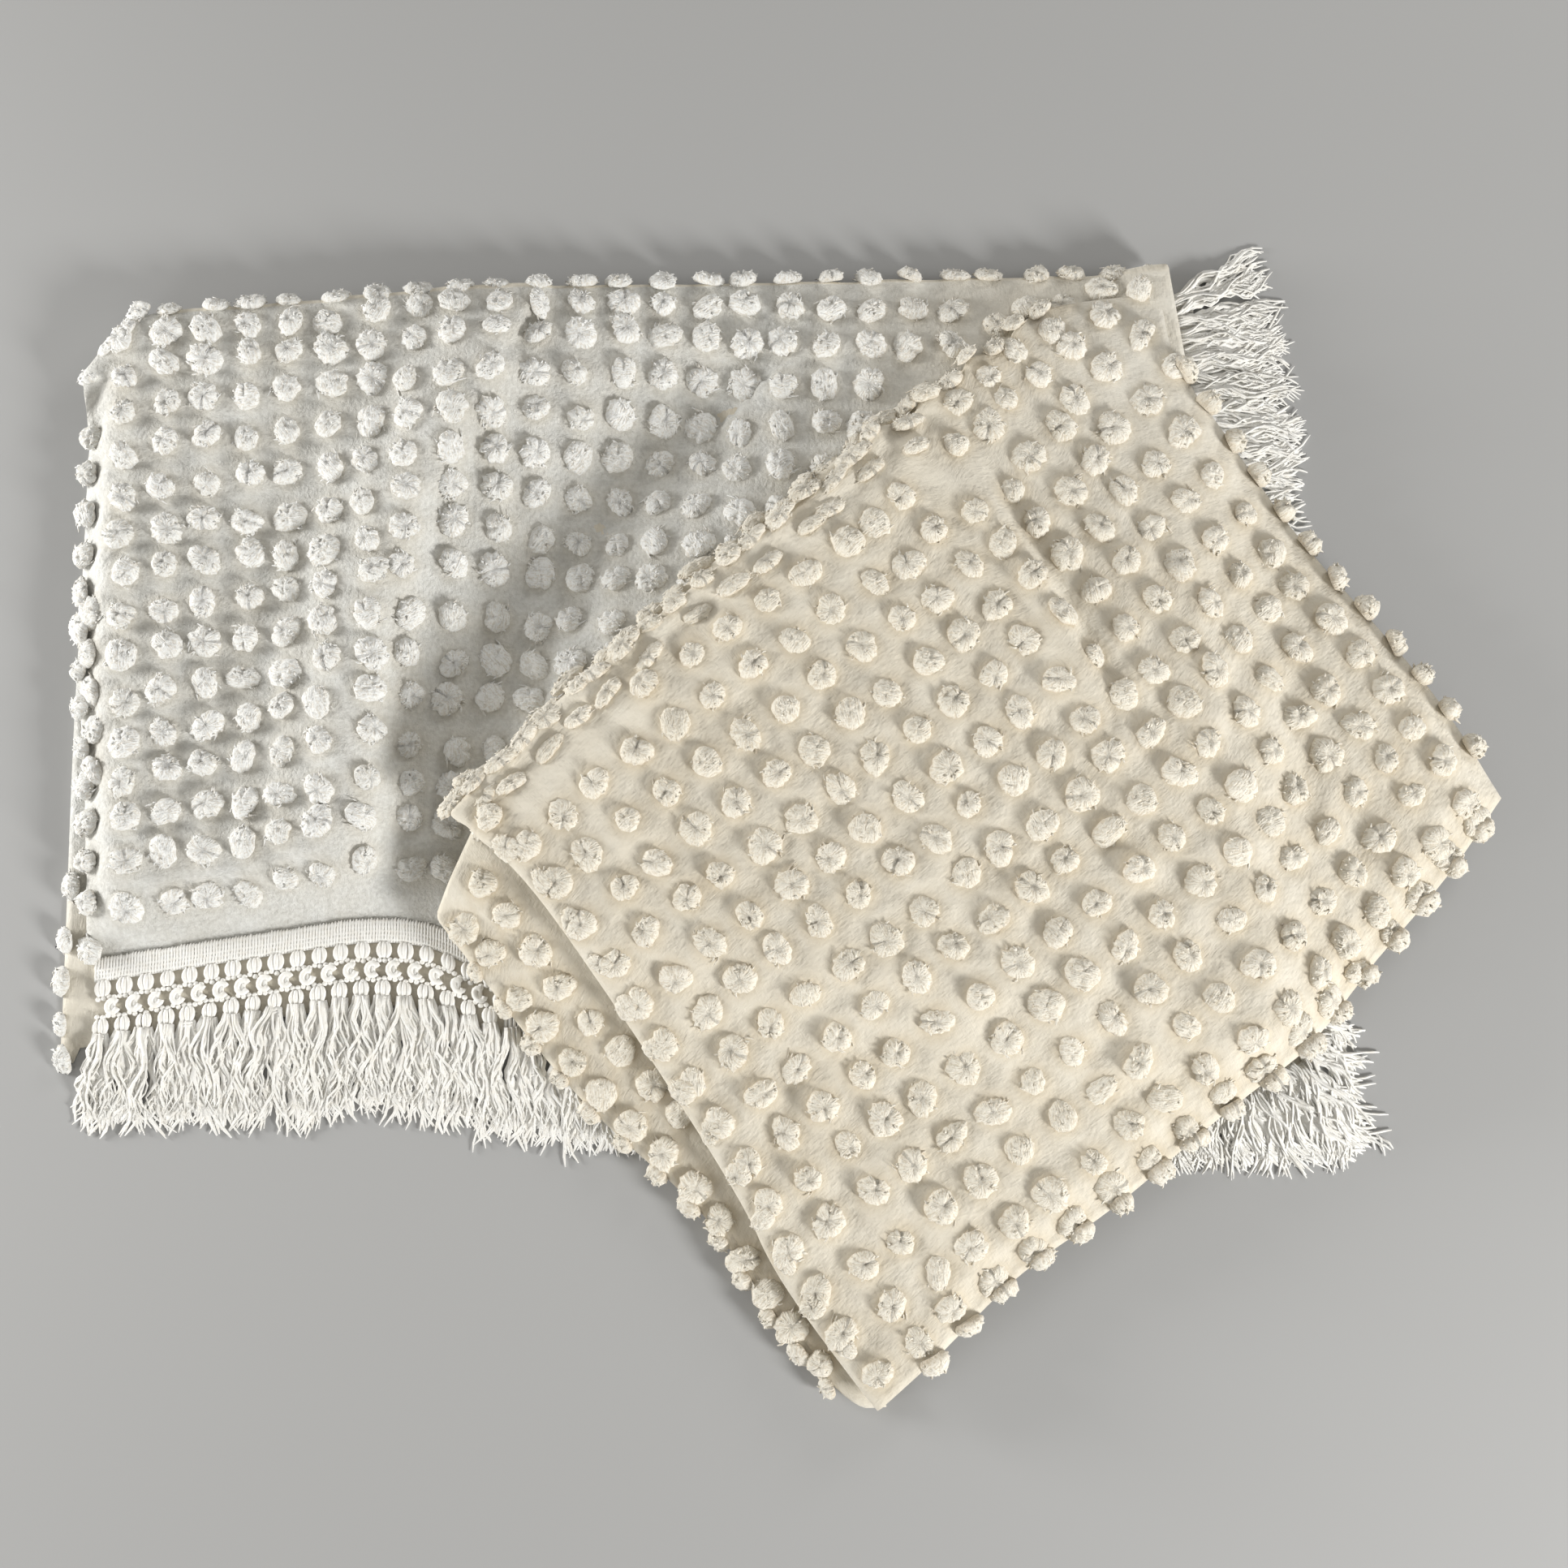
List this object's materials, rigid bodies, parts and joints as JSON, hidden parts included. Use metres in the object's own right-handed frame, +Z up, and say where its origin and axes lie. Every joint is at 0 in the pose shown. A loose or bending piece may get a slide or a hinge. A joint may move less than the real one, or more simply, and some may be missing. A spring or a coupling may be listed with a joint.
{
  "type": "folded chenille bedspread",
  "caption": "Folded white cotton bedspread with rows of cream chenille tufts, a slanted folded pack across it and knotted fringe along two edges",
  "frame": {"origin": "on the surface that the folded spread rests on, under the middle of the cloth", "axes": "x along the folded base's far edge to the right, y away from the trimmed front edge, z up out of the surface"},
  "size_m": [1.3423, 1.0907, 0.0951],
  "materials": {
    "white_cotton": "napped cotton",
    "cream_fringe": "matt cotton yarn"
  },
  "bodies": {
    "root": {"spread_cloth": "white_cotton", "fringe_front": "cream_fringe", "fringe_side": "cream_fringe"}
  },
  "joints": []
}
